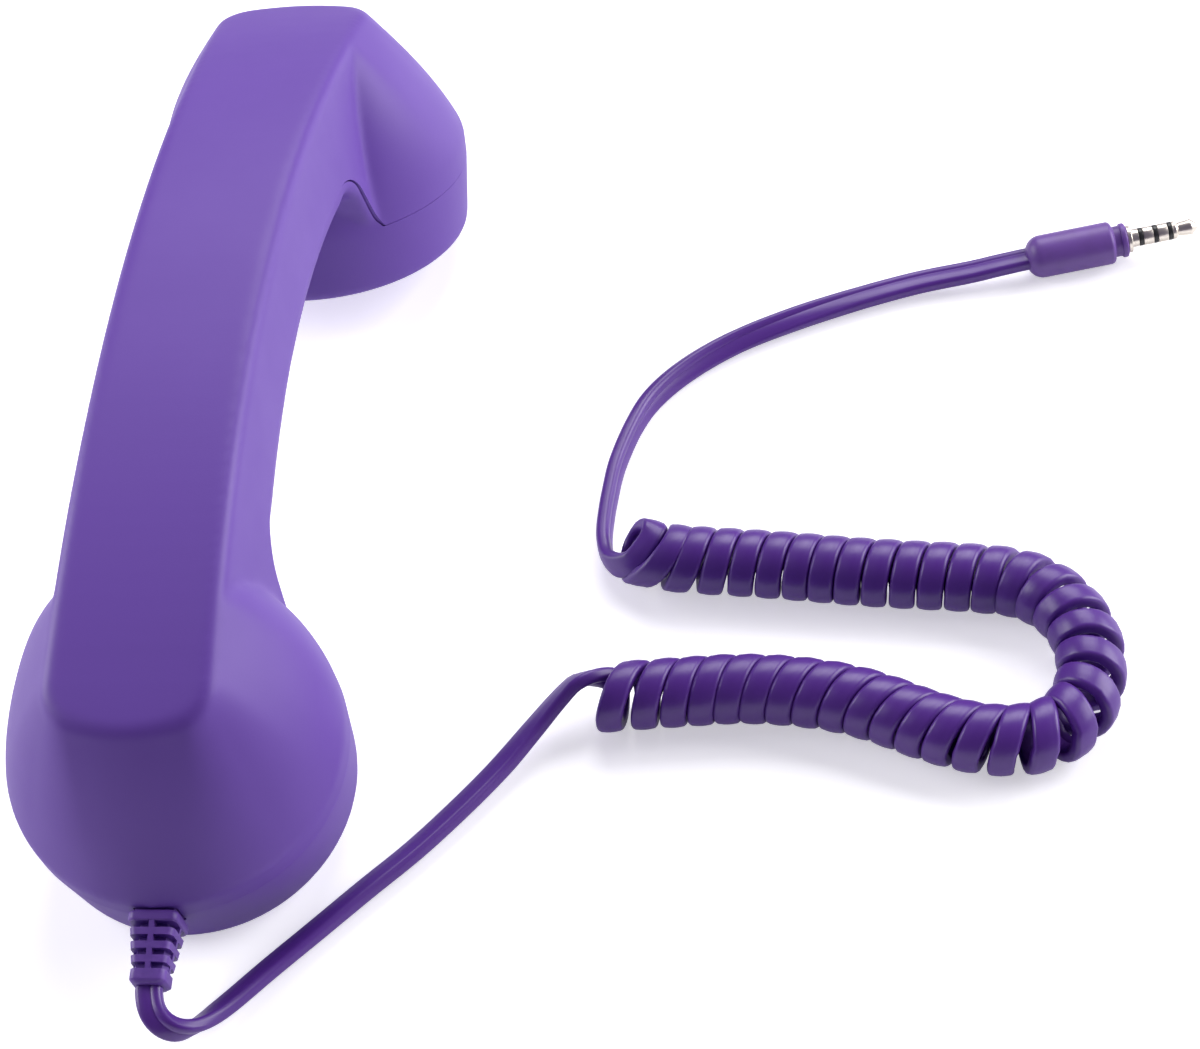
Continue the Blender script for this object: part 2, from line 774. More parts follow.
@dataclass
class HandsetForm:
    """The sizes of the housing and the curves that follow from them."""

    cup_spacing: float = 140.6 * MM
    cup_tilt: float = math.radians(14.2)
    band_radius: float = 29.8 * MM
    band_height: float = 19.0 * MM
    seam_radius: float = 29.7 * MM
    seam_height: float = 14.5 * MM
    face_radius: float = 25.8 * MM
    face_edge: float = 2.5 * MM
    cup_tall: float = 46.0 * MM
    end_bow_depth: float = 3.3 * MM
    back_top: float = 68.3 * MM
    back_arc: float = 228.0 * MM
    back_half: float = 14.1 * MM
    end_flare: float = 1.4 * MM
    corner_radius: float = 5.5 * MM
    ridge_radius: float = 2.4 * MM
    side_draft: float = 0.082
    side_foot: float = 26.3 * MM
    wall: float = 2.0 * MM
    dome_length: float = 22.0 * MM
    mouth_reach: float = 2.2 * MM
    tongue_angle: float = math.radians(48)
    bulge_marks: tuple = ((0, 1.6), (50, 1.6), (85, 4.2), (112, 5.2), (152, 5.2), (170, 2.6), (180, 0.0))
    dome_embed: float = 0.03 * MM
    parting_gap: float = 0.3 * MM
    seam_share: float = 0.4
    handle_depth: float = 15.5 * MM
    arch_radius: float = 140.0 * MM
    arch_fillet: float = 14.0 * MM
    foot_inset: float = 6.0 * MM
    foot_lean: float = math.radians(12.0)
    belly_depth: float = 4.5 * MM
    belly_foot_depth: float = 1.2 * MM
    belly_corner: float = 3.0 * MM
    belly_step: float = 0.4 * MM
    belly_rise: float = 3.0 * MM
    end_overhang: float = 17.1 * MM
    least_ridge: float = 0.6 * MM
    least_corner: float = 1.0 * MM
    least_belly_corner: float = 0.8 * MM
    straight_turn: float = math.radians(15)
    half_length: float = field(init=False)
    arch_top: float = field(init=False)

    def __post_init__(self) -> None:
        """Works out the handle's half length and the height of the parting line."""
        self.half_length = self.cup_spacing / 2 + self.end_overhang
        self.arch_top = self.back_top - self.handle_depth

    def back_height(self, y: float, inset: float = 0.0) -> float:
        """Height of the back at a station along the handset."""
        return self.back_top - self.back_arc + math.sqrt((self.back_arc - inset) ** 2 - y * y)

    def back_half_width(self, y: float) -> float:
        """Half width of the back at a station along the handset."""
        return self.back_half + self.end_flare * (y / self.half_length) ** 2

    def side_half_width(self, y: float, z: float) -> float:
        """Half width of the drafted side at a station and a height."""
        return self.back_half_width(y) + self.side_draft * (self.back_height(y) - z)

    def end_bow(self, x: float, width: float) -> float:
        """How far the end edge of the back bows out at a distance from its middle."""
        return self.end_bow_depth * max(1 - (x / width) ** 2, 0)

    def ridge_step(self, angle: float, inset: float) -> Pair:
        """Growth and drop of the ridge's round at an angle from its top."""
        radius = max(self.ridge_radius - inset, self.least_ridge)
        return radius * (math.sin(angle) - 1), radius * (1 - math.cos(angle))

    def handle_ring(self, inset: float, grow: float, fall: float, corner_steps: int = 10,
                    side_steps: int = 40) -> Ring:
        """One level outline of the handle.

        Args:
            inset: How far inside the outer surface it lies.
            grow: How far it is widened.
            fall: How far below the back it lies.
            corner_steps: Steps round each corner.
            side_steps: Steps along each side.

        Returns:
            The ring, its right half mirrored by its left.
        """
        end = self.half_length - inset + grow
        corner = max(self.corner_radius - inset, self.least_corner) + grow
        middle = end - corner
        width = self.back_half_width(middle) - inset + grow
        edge = [((width - corner) * k / 3, end) for k in (0.5, 1.5, 2.4)]
        edge += arc((width - corner, middle), corner, 90, 0, corner_steps)
        edge = [(x, y + self.end_bow(x, width)) for x, y in edge]
        sides = []
        for k in range(1, side_steps):
            y = middle * (1 - 2 * k / side_steps)
            sides.append((self.back_half_width(y) - inset + grow, y))
        plan = edge + sides + [(x, -y - self.mouth_reach) for x, y in reversed(edge)]
        right = [Vector((x, y, self.back_height(y, inset) - fall)) for x, y in plan]
        return mirrored(right)

    def handle_rings(self, inset: float, ridge_steps: int = 6, fall_steps: int = 10) -> list[Ring]:
        """The rings of the handle from its back down its drafted sides."""
        last = math.pi / 2 - math.atan(self.side_draft)
        rings = [self.handle_ring(inset, *self.ridge_step(last * k / ridge_steps, inset))
                 for k in range(ridge_steps + 1)]
        grow, fall = self.ridge_step(last, inset)
        depth = self.back_top - self.side_foot
        for k in range(1, fall_steps + 1):
            low = fall + (depth - fall) * k / fall_steps
            rings.append(self.handle_ring(inset, grow + self.side_draft * (low - fall), low))
        return rings

    def cup_frame(self, end: int) -> tuple[Vector, Vector, Vector]:
        """Face centre, axis and outward direction of a cup; end is +1 for the ear."""
        axis = Vector((0, end * math.sin(self.cup_tilt), math.cos(self.cup_tilt)))
        outward = Vector((0, end * math.cos(self.cup_tilt), -math.sin(self.cup_tilt)))
        rise = self.face_edge * (1 - math.cos(self.cup_tilt))
        centre = Vector((0, end * self.cup_spacing / 2,
                         self.face_radius * math.sin(self.cup_tilt) + rise))
        return centre, axis, outward

    def cup_point(self, end: int, across: float, out: float, height: float) -> Vector:
        """A point given across, outwards from and above a cup's face centre."""
        centre, axis, outward = self.cup_frame(end)
        return centre + X_AXIS * across + outward * out + axis * height

    def cup_ring(self, end: int, radius: float, height: float, sides: int = 120) -> Ring:
        """A circle round a cup's axis."""
        ring = []
        for i in range(sides):
            angle = 2 * math.pi * (i + 0.5) / sides
            ring.append(self.cup_point(end, radius * math.sin(angle), radius * math.cos(angle), height))
        return ring

    def tongue_ring(self, end: int, inset: float, sides: int = 120) -> Ring:
        """The end of the flat back, point by point with the cup's ring."""
        grow, fall = self.ridge_step(self.tongue_angle, inset)
        grow -= self.dome_embed
        half_length = self.dome_length / 2 - inset + grow
        middle = self.half_length - self.dome_length / 2
        corner = max(self.corner_radius - inset, self.least_corner) + grow
        straight = self.straight_turn
        ring = []
        for i in range(sides):
            angle = 2 * math.pi * (i + 0.5) / sides
            turn = min(angle, 2 * math.pi - angle)
            fold = turn if turn <= math.pi / 2 else math.pi - turn
            width = self.back_half_width(middle) - inset + grow
            if fold < straight:
                x, along = (width - corner) * fold / straight, half_length
            elif fold > math.pi / 2 - straight:
                x, along = width, (half_length - corner) * (math.pi / 2 - fold) / straight
            else:
                bend = (fold - straight) / (math.pi / 2 - 2 * straight) * math.pi / 2
                x = width - corner + corner * math.sin(bend)
                along = half_length - corner + corner * math.cos(bend)
            side = 1 if angle < math.pi else -1
            way = 1 if turn <= math.pi / 2 else -1
            bow = self.end_bow(x, width) if way > 0 else 0
            reach = self.mouth_reach * along / half_length if way > 0 and end < 0 else 0
            y = end * (middle + way * along + bow + reach)
            x += self.back_half_width(y) - self.back_half_width(middle) if fold > straight else 0
            ring.append(Vector((side * x, y, self.back_height(y, inset) - fall)))
        return ring

    def bulge_at(self, turn: float) -> float:
        """How far a dome bulges at a turn from its outer end; its flanks bulge most."""
        return between(self.bulge_marks, math.degrees(turn)) * MM

    def dome_rings(self, end: int, inset: float, bottom: float, levels: int = 20) -> list[Ring]:
        """The rings of a dome from the end of the back down into its cup."""
        top = self.tongue_ring(end, inset)
        base = self.cup_ring(end, self.band_radius - inset, self.band_height)
        rings = [top]
        sides = len(top)
        for k in range(1, levels):
            t = k / levels
            ring = []
            for i in range(sides):
                angle = 2 * math.pi * (i + 0.5) / sides
                turn = min(angle, 2 * math.pi - angle)
                outward = self.cup_point(end, math.sin(angle), math.cos(angle), 0) - self.cup_frame(end)[0]
                middle = (top[i] + base[i]) / 2 + outward * self.bulge_at(turn)
                ring.append((1 - t) ** 2 * top[i] + 2 * t * (1 - t) * middle + t ** 2 * base[i])
            rings.append(ring)
        rings.append(base)
        rings.append(self.cup_ring(end, self.seam_radius - inset, self.seam_height))
        rings.append(self.cup_ring(end, self.seam_radius - inset, bottom))
        return rings

    def cup_rings(self, end: int) -> list[Ring]:
        """The rings of a cup from its face to above the seam."""
        rings = []
        for radius, height in arc((self.face_radius, self.face_edge), self.face_edge, -90, 0, 8):
            rings.append(self.cup_ring(end, radius, height))
        rings.append(self.cup_ring(end, self.seam_radius, self.seam_height))
        rings.append(self.cup_ring(end, self.seam_radius, self.seam_height + 6 * MM))
        return rings

    def band_radius_at(self, height: float) -> float:
        """Radius of the cup's tapered band below the seam."""
        low = self.face_radius + self.face_edge
        share = (height - self.face_edge) / (self.seam_height - self.face_edge)
        return low + (self.seam_radius - low) * min(max(share, 0), 1)

    def arch_line(self, shift: float, steps: int = 24, fillet_steps: int = 12) -> list[tuple]:
        """Points, angles and foot shares of the parting line, from -Y foot to +Y foot."""
        centre, axis, _ = self.cup_frame(1)
        plane = centre + axis * self.seam_height
        foot_y = (self.cup_spacing / 2 + self.seam_height * math.sin(self.cup_tilt)
                  - self.seam_radius * math.cos(self.cup_tilt) + self.foot_inset)
        foot = Vector((foot_y, plane.z - (foot_y - plane.y) * math.tan(self.cup_tilt)))
        down = Vector((math.sin(self.foot_lean), -math.cos(self.foot_lean)))
        inward = Vector((-math.cos(self.foot_lean), -math.sin(self.foot_lean)))
        arch_centre = Vector((0, self.arch_top - self.arch_radius))
        start = foot + inward * self.arch_fillet - arch_centre
        reach = self.arch_radius - self.arch_fillet
        along = start.dot(-down)
        travel = -along + math.sqrt(along * along - start.dot(start) + reach * reach)
        fillet_centre = foot + inward * self.arch_fillet - down * travel
        meet = fillet_centre - arch_centre
        meet_angle = math.atan2(meet.x, meet.y)
        foot_angle = math.atan2(-inward.x, -inward.y)
        half = []
        for k in range(steps // 2 + 1):
            angle = meet_angle * k / (steps // 2)
            spoke = Vector((math.sin(angle), math.cos(angle)))
            half.append((arch_centre + spoke * (self.arch_radius + shift), angle, 0.0))
        for k in range(1, fillet_steps + 1):
            share = k / fillet_steps
            angle = meet_angle + (foot_angle - meet_angle) * share
            spoke = Vector((math.sin(angle), math.cos(angle)))
            half.append((fillet_centre + spoke * (self.arch_fillet + shift), angle, share))
        half.append((foot - inward * shift, foot_angle, 1.0))
        other = [(Vector((-point.x, point.y)), -angle, share) for point, angle, share in half[:0:-1]]
        return other + half

    def below_parting(self, name: str, shift: float) -> bpy.types.Object:
        """The space below the parting surface, moved away from the inner housing by a shift."""
        line = [point for point, _, _ in self.arch_line(shift)]
        centre, axis, outward = self.cup_frame(1)
        seam = centre + axis * (self.seam_height + shift * self.seam_share)
        far = seam + outward * 3 * self.seam_radius
        foot = line[-1]
        foot_z = seam.z - (foot.x - seam.y) * math.tan(self.cup_tilt)
        line[-1] = Vector((foot.x, foot_z))
        line[0] = Vector((-foot.x, foot_z))
        low = -self.cup_tall
        outline = [(-far.y, low), (-far.y, far.z)] + [(p.x, p.y) for p in line]
        outline += [(far.y, far.z), (far.y, low)]
        reach = 2 * self.seam_radius
        shape = bmesh.new()
        side = shape.faces.new([shape.verts.new((-reach, y, z)) for y, z in outline])
        grown = bmesh.ops.extrude_face_region(shape, geom=[side])
        moved = [item for item in grown["geom"] if isinstance(item, bmesh.types.BMVert)]
        bmesh.ops.translate(shape, vec=(2 * reach, 0, 0), verts=moved)
        return shown(name, shape)

    def belly_rings(self, inset: float) -> list[Ring]:
        """The sections of the handle's inner face, swept under the parting line."""
        rings = []
        for point, angle, share in self.arch_line(0.0):
            into = Vector((-math.sin(angle), -math.cos(angle)))
            depth = self.belly_depth + (self.belly_foot_depth - self.belly_depth) * share - inset
            depth = max(depth, 0.5 * MM - self.belly_rise)
            width = self.side_half_width(abs(point.x), point.y) - self.belly_step - inset
            corner = max(self.belly_corner - inset, self.least_belly_corner)
            corner = min(corner, (depth + self.belly_rise) / 2)
            section = [(width, -self.belly_rise), (width, min(0.0, depth - corner - 0.2 * MM))]
            section += arc((width - corner, depth - corner), corner, 0, 90, 6)
            rings.append(mirrored([Vector((x, point.x + into.x * v, point.y + into.y * v))
                                   for x, v in section]))
        return rings

    def relief_frame(self) -> tuple[Vector, Vector, Vector]:
        """Where the strain relief leaves the mouth cup, its direction and its up."""
        centre, axis, outward = self.cup_frame(-1)
        return centre + axis * self.seam_height + outward * self.seam_radius, outward, axis


FORM = HandsetForm()


@dataclass
class Inside:
    """The sizes of what the two housings carry inside."""

    fit: float = 0.3 * MM
    recess: float = 2.2 * MM
    floor: float = 2.2 * MM
    cover_radius: float = 24.7 * MM
    boss_offset: float = 21.4 * MM
    boss_radius: float = 3.1 * MM
    head_radius: float = 2.3 * MM
    head_height: float = 1.6 * MM
    screw_length: float = 10.0 * MM
    pilot_radius: float = 1.5 * MM
    collar_height: float = 2.6 * MM
    seat_wall: float = 1.3 * MM
    seat_height: float = 3.2 * MM
    seat_radii: Pair = (6.55 * MM, 16.0 * MM)
    port_radii: Pair = (3.85 * MM, 13.0 * MM)
    button_radius: float = 5.5 * MM
    weight_spacing: float = 76.0 * MM
    weight_thickness: float = 3.0 * MM
    weight_boss: float = 2.4 * MM
    post_spacing: float = 32.0 * MM
    post_radius: float = 2.4 * MM
    board_z: float = 59.8 * MM
    neck: Pair = (3.9 * MM, 3.2 * MM)

    def floor_top(self) -> float:
        """Height of the cup's floor above its face."""
        return self.recess + self.floor

    def collar_top(self) -> float:
        """Height of the screw collars above the face."""
        return self.floor_top() + self.collar_height

    def head_seat(self) -> float:
        """Height at which a housing screw's head bears."""
        return self.recess + self.fit + self.head_height


INSIDE = Inside()


@dataclass
class Housing:
    """The two halves of the handset's body."""

    form: HandsetForm
    inside: Inside
    outer_voxel: float = 0.6 * MM
    inner_voxel: float = 0.6 * MM
    outer_rounds: int = 6
    inner_rounds: int = 5

    def feet(self, end: int) -> list[Vector]:
        """Where the two screws of a cup stand on its face plane."""
        return [self.form.cup_point(end, side * self.inside.boss_offset, 0, 0) for side in (-1, 1)]

    def weight_line(self, y: float) -> tuple[Vector, Vector]:
        """Top and bottom points of the steel weight at a station."""
        centre = Vector((0, 0, self.form.back_top - self.form.back_arc))
        radius = self.form.back_arc - self.form.wall - self.inside.fit
        angle = math.asin(y / radius)
        spoke = Vector((0, math.sin(angle), math.cos(angle)))
        return centre + spoke * radius, centre + spoke * (radius - self.inside.weight_thickness)

    def relief_port(self) -> bpy.types.Object:
        """The hole in both halves for the neck of the strain relief."""
        mouth, outward, axis = self.form.relief_frame()
        wall = self.form.wall
        return block("port", mouth - outward * 3 * wall, mouth + outward * 2 * wall, axis,
                     *self.inside.neck, edge=0.5 * MM)

    def build_outer(self) -> bpy.types.Object:
        """Builds the back half: the handle, both domes and the tops of both bands.

        Returns:
            The finished piece.
        """
        form, inside = self.form, self.inside
        low = form.seam_height / 2
        parts = [rows_of_rings("handle", form.handle_rings(0.0))]
        parts += [rows_of_rings("dome", form.dome_rings(end, 0.0, low)) for end in (-1, 1)]
        shell = one_skin(merged("outer_housing", parts), self.outer_voxel, self.outer_rounds)
        hollow = rows_of_rings("hollow", form.handle_rings(form.wall))
        for end in (-1, 1):
            dome = rows_of_rings("dome_hollow", form.dome_rings(end, form.wall, low - form.wall, 8))
            combine(hollow, dome, Join.UNION)
        for end in (-1, 1):
            axis = form.cup_frame(end)[1]
            for foot in self.feet(end):
                boss = rod("boss", foot + axis * (inside.collar_top() + inside.fit),
                           foot + axis * form.cup_tall, inside.boss_radius)
                combine(hollow, boss)
        for y in (-inside.weight_spacing / 2, inside.weight_spacing / 2):
            top, bottom = self.weight_line(y)
            up = (top - bottom).normalized()
            combine(hollow, rod("boss", bottom, top + up * form.wall, inside.weight_boss))
        combine(shell, form.below_parting("below", form.parting_gap / 2))
        combine(shell, hollow)
        for end in (-1, 1):
            axis = form.cup_frame(end)[1]
            reach = inside.head_seat() + inside.screw_length + inside.fit
            for foot in self.feet(end):
                combine(shell, rod("pilot", foot + axis * inside.collar_top(), foot + axis * reach,
                                   inside.pilot_radius, 24))
        combine(shell, self.relief_port())
        return shell

    def build_inner(self) -> bpy.types.Object:
        """Builds the front half: both cups and the handle's inner face.

        Returns:
            The finished piece.
        """
        form, inside = self.form, self.inside
        parts = [rows_of_rings("belly", form.belly_rings(0.0))]
        parts += [rows_of_rings("cup", form.cup_rings(end)) for end in (-1, 1)]
        shell = one_skin(merged("inner_housing", parts), self.inner_voxel, self.inner_rounds)
        hollow = rows_of_rings("hollow", form.belly_rings(form.wall))
        for end in (-1, 1):
            combine(hollow, rows_of_rings("cup_hollow", [
                form.cup_ring(end, form.band_radius_at(inside.floor_top()) - form.wall, inside.floor_top()),
                form.cup_ring(end, form.seam_radius - form.wall, form.seam_height),
                form.cup_ring(end, form.seam_radius - form.wall, form.cup_tall)]), Join.UNION)
        for end in (-1, 1):
            self.carve_cup(hollow, end)
        for y in (-inside.post_spacing / 2, inside.post_spacing / 2):
            low = Vector((0, y, form.arch_top - form.belly_depth))
            high = Vector((0, y, inside.board_z - inside.fit))
            combine(hollow, rod("post", low, high, inside.post_radius))
        combine(shell, form.below_parting("below", -form.parting_gap / 2), Join.INTERSECT)
        combine(shell, hollow)
        for end in (-1, 1):
            centre, axis, _ = form.cup_frame(end)
            combine(shell, rod("recess", centre - axis * form.wall, centre + axis * inside.recess,
                               inside.cover_radius + inside.fit, 96))
            port = inside.port_radii[0 if end < 0 else 1]
            combine(shell, rod("port", centre, centre + axis * (inside.floor_top() + form.wall / 2),
                               port, 48))
            for foot in self.feet(end):
                combine(shell, rod("bore", foot, foot + axis * inside.head_seat(),
                                   inside.head_radius + inside.fit, 24))
                combine(shell, rod("hole", foot, foot + axis * (inside.collar_top() + form.wall),
                                   inside.pilot_radius, 24))
        plate = form.arch_top - form.belly_depth
        combine(shell, rod("button_hole", Z_AXIS * (plate - 2 * form.wall), Z_AXIS * (plate + 2 * form.wall),
                           inside.button_radius + inside.fit, 64))
        combine(shell, self.relief_port())
        return shell

    def carve_cup(self, hollow: bpy.types.Object, end: int) -> None:
        """Leaves a cup's seat ring and screw collars standing in the hollow.

        Args:
            hollow: The hollow of the front half.
            end: Which cup.
        """
        form, inside = self.form, self.inside
        centre, axis, _ = form.cup_frame(end)
        inner = inside.seat_radii[0 if end < 0 else 1] + inside.fit
        outer = inner + inside.seat_wall
        top = inside.floor_top() + inside.seat_height
        root = inside.floor_top() - inside.floor / 2
        combine(hollow, spun("seat", centre, axis, [
            (outer, top), (outer, root), (inner, root), (inner, top)], 64, closed=True))
        for foot in self.feet(end):
            combine(hollow, rod("collar", foot + axis * root, foot + axis * inside.collar_top(),
                                inside.boss_radius))

    def build(self) -> None:
        """Builds and seats both halves."""
        seat(self.build_outer(), SATIN_SHELL, "shell_plastic", ROOT_BODY, "outer_shell")
        seat(self.build_inner(), SATIN_SHELL, "shell_plastic", ROOT_BODY, "inner_shell")


# ---------------------------------------------------------------- faces and button


class Face(Enum):
    """The two faces of the handset."""

    EAR = 1
    MOUTH = -1


@dataclass
class FaceCover:
    """A perforated disc in the recess of a cup."""

    face: Face
    name: str
    node: str
    hole: float
    rings: tuple[tuple[float, int], ...]
    radius: float = 24.7 * MM
    thickness: float = 1.9 * MM
    edge: float = 0.4 * MM
    rim: float = 2.6 * MM
    slope: float = 1.2 * MM
    dish: float = 0.25 * MM
    sink: float = 2.4

    def build(self) -> bpy.types.Object:
        """Builds the disc, with a rounded rim and countersunk holes.

        Returns:
            The finished piece.
        """
        centre, axis, _ = FORM.cup_frame(self.face.value)
        flat = self.radius - self.rim
        profile = [(0, self.dish), (flat - self.slope, self.dish), (flat, 0)]
        for k in range(5):
            turn = math.pi / 2 * k / 4
            profile.append((self.radius - self.edge + self.edge * math.sin(turn),
                            self.edge * (1 - math.cos(turn))))
        profile += [(self.radius, self.thickness), (0, self.thickness)]
        disc = spun(self.name, centre, axis, profile, 96)
        spots = [(0.0, 0.0)]
        for radius, count in self.rings:
            turns = [2 * math.pi * k / count for k in range(count)]
            spots += [(radius * math.sin(turn), radius * math.cos(turn)) for turn in turns]
        sink = self.hole * self.sink
        for name, wide, narrow, depth in (("holes", self.hole, self.hole, 4 * self.thickness),
                                          ("sinks", sink, 0, sink)):
            shape = bmesh.new()
            for across, out in spots:
                mouth = FORM.cup_point(self.face.value, across, out, self.dish)
                bmesh.ops.create_cone(shape, cap_ends=True, segments=24, radius1=wide, radius2=narrow,
                                      depth=depth, matrix=placement(mouth, axis))
            combine(disc, shown(name, shape))
        return seat(disc, COVER_FACE, "cover_plastic", ROOT_BODY, self.node, angle=40)


@dataclass
class AnswerKey:
    """The round key in the inner face of the handle."""

    radius: float = 5.5 * MM
    proud: float = 0.8 * MM
    edge: float = 0.7 * MM
    dish: float = 0.45 * MM
    flange: float = 6.9 * MM
    flange_top: float = 51.6 * MM
    flange_height: float = 1.0 * MM
    stem: float = 2.4 * MM
    stem_top: float = 53.2 * MM
    stem_edge: float = 0.2 * MM

    def build(self) -> bpy.types.Object:
        """Builds the key with a dished face, a rounded rim, its flange and its stem.

        Returns:
            The finished piece.
        """
        face = FORM.arch_top - FORM.belly_depth - self.proud
        low = self.flange_top - self.flange_height
        profile = [(0, self.stem_top), (self.stem - self.stem_edge, self.stem_top),
                   (self.stem, self.stem_top - self.stem_edge), (self.stem, self.flange_top),
                   (self.flange, self.flange_top), (self.flange, low), (self.radius, low)]
        profile += arc((self.radius - self.edge, face + self.edge), self.edge, 0, -90, 6)
        bowl = self.radius - self.edge
        for k in range(1, 9):
            share = 1 - k / 8
            profile.append((bowl * share, face + self.dish * (1 - share * share)))
        key = spun("answer_key", Vector((0, 0, 0)), Z_AXIS, profile)
        return seat(key, COVER_FACE, "cover_plastic", BUTTON_BODY, "answer_button")


# ---------------------------------------------------------------- strain relief and plug


@dataclass
class CordBoot:
    """The slotted, tapered strain relief in the seam of the mouth cup."""

    length: float = 12.8 * MM
    block_half: Pair = (4.35 * MM, 4.1 * MM)
    end_half: Pair = (3.15 * MM, 2.9 * MM)
    block_length: float = 2.2 * MM
    block_corner: float = 1.3 * MM
    corner: float = 1.2 * MM
    start: float = 0.25 * MM
    nose: float = 0.7 * MM
    shoulder: float = 0.5 * MM
    step: float = 0.25 * MM
    waist: float = 0.1 * MM
    collar: float = 2.4 * MM
    collar_edge: tuple = ((0.7, 0.0), (0.55, 0.06), (0.1, 0.48), (0.0, 0.62))
    rows: int = 4
    rib: float = 1.15 * MM
    core: float = 1.9 * MM
    web: float = 0.9 * MM
    slot_bend: Pair = (2.3 * MM, 3.0 * MM)
    slot_side: float = 0.4 * MM
    slot_reach: float = 7.0 * MM
    slot_shift: float = 0.06 * MM
    slot_trim: float = 0.05 * MM
    overlap: float = 1.2 * MM
    neck: Pair = (3.6 * MM, 2.9 * MM)
    flange: Pair = (4.9 * MM, 4.1 * MM)
    flange_length: float = 1.6 * MM
    flange_gap: float = 1.4 * MM

    def ring(self, along: float, half_x: float, half_up: float, corner: float) -> Ring:
        """A rounded oblong section of the boot.

        Args:
            along: Its distance from the cup.
            half_x: Half its width.
            half_up: Half its height.
            corner: The radius of its corners.

        Returns:
            The ring, its right half mirrored by its left.
        """
        mouth, outward, axis = FORM.relief_frame()
        centre = mouth + outward * along
        right = [(half_x * 0.25, half_up)] + arc((half_x - corner, half_up - corner), corner, 90, 0, 8)
        right += [(x, -z) for x, z in reversed(right)]
        return mirrored([centre + X_AXIS * x + axis * z for x, z in right])

    def body_rings(self) -> list[Ring]:
        """The rings of the block and the taper, with rounded ends."""
        wide, tall = self.block_half
        shoulder, step = self.shoulder, self.step
        spots = arc((self.start + self.nose, self.nose), self.nose, 180, 270, 4)
        for angle in (0, math.pi / 6, math.pi / 3, math.pi / 2):
            spots.append((self.block_length - shoulder * (1 - math.sin(angle)),
                          step * (1 - math.cos(angle))))
        rows = [(along, wide - shy, tall - shy, self.block_corner) for along, shy in spots]
        taper_end = self.length - self.collar
        first = Vector(self.block_half) - Vector((step, step))
        last = Vector(self.end_half) - Vector((self.waist, self.waist))
        for k in range(7):
            along = self.block_length + (taper_end - self.block_length) * k / 6
            rows.append((along, *first.lerp(last, k / 6), self.corner))
        rows.append((taper_end, *self.end_half, self.corner))
        for back, shy in self.collar_edge:
            rows.append((self.length - back * MM, self.end_half[0] - shy * MM,
                         self.end_half[1] - shy * MM, self.corner))
        return [self.ring(*row) for row in rows]

    def notch(self, mouth: Vector, outward: Vector, axis: Vector, span: Pair,
              side: int, face: int) -> bpy.types.Object:
        """One slot: deep beside the web and wrapped round the boot's side.

        Args:
            mouth: Where the boot leaves the cup.
            outward: The boot's direction.
            axis: The boot's up.
            span: Where the slot starts and ends along the boot.
            side: Which side of the web.
            face: Which face of the boot.

        Returns:
            The cutting piece.
        """
        near, (turn, flank), far = self.web / 2, self.slot_bend, self.slot_reach
        deep = self.slot_side
        corners = ((near, self.core), (turn, self.core), (flank, deep), (far, deep), (far, far),
                   (near, far))
        return rows_of_rings("slot", [
            [mouth + outward * along + X_AXIS * x * side + axis * up * face for x, up in corners]
            for along in span])

    def build(self) -> bpy.types.Object:
        """Builds the boot, its neck and its flange, and cuts its slots.

        Returns:
            The finished piece.
        """
        mouth, outward, axis = FORM.relief_frame()
        behind = FORM.wall + self.flange_gap
        body = rows_of_rings("cord_boot", self.body_rings())
        neck = block("neck", mouth - outward * (behind + self.flange_length / 2),
                     mouth + outward * self.overlap, axis, *self.neck, edge=0.4 * MM)
        flange = block("flange", mouth - outward * (behind + self.flange_length),
                       mouth - outward * behind, axis, *self.flange, edge=0.3 * MM)
        combine(body, neck, Join.UNION)
        combine(body, flange, Join.UNION)
        pitch = (self.length - self.collar - self.block_length + self.rib) / self.rows
        for row in range(self.rows):
            low = self.block_length + self.slot_shift + pitch * row
            high = low + pitch - self.rib - self.slot_trim
            for face in (-1, 1):
                for side in (-1, 1):
                    slot = self.notch(mouth, outward, axis, (low, high), side, face)
                    combine(body, slot)
        return seat(body, BOOT_VINYL, "cord_plastic", ROOT_BODY, "strain_relief", angle=38)


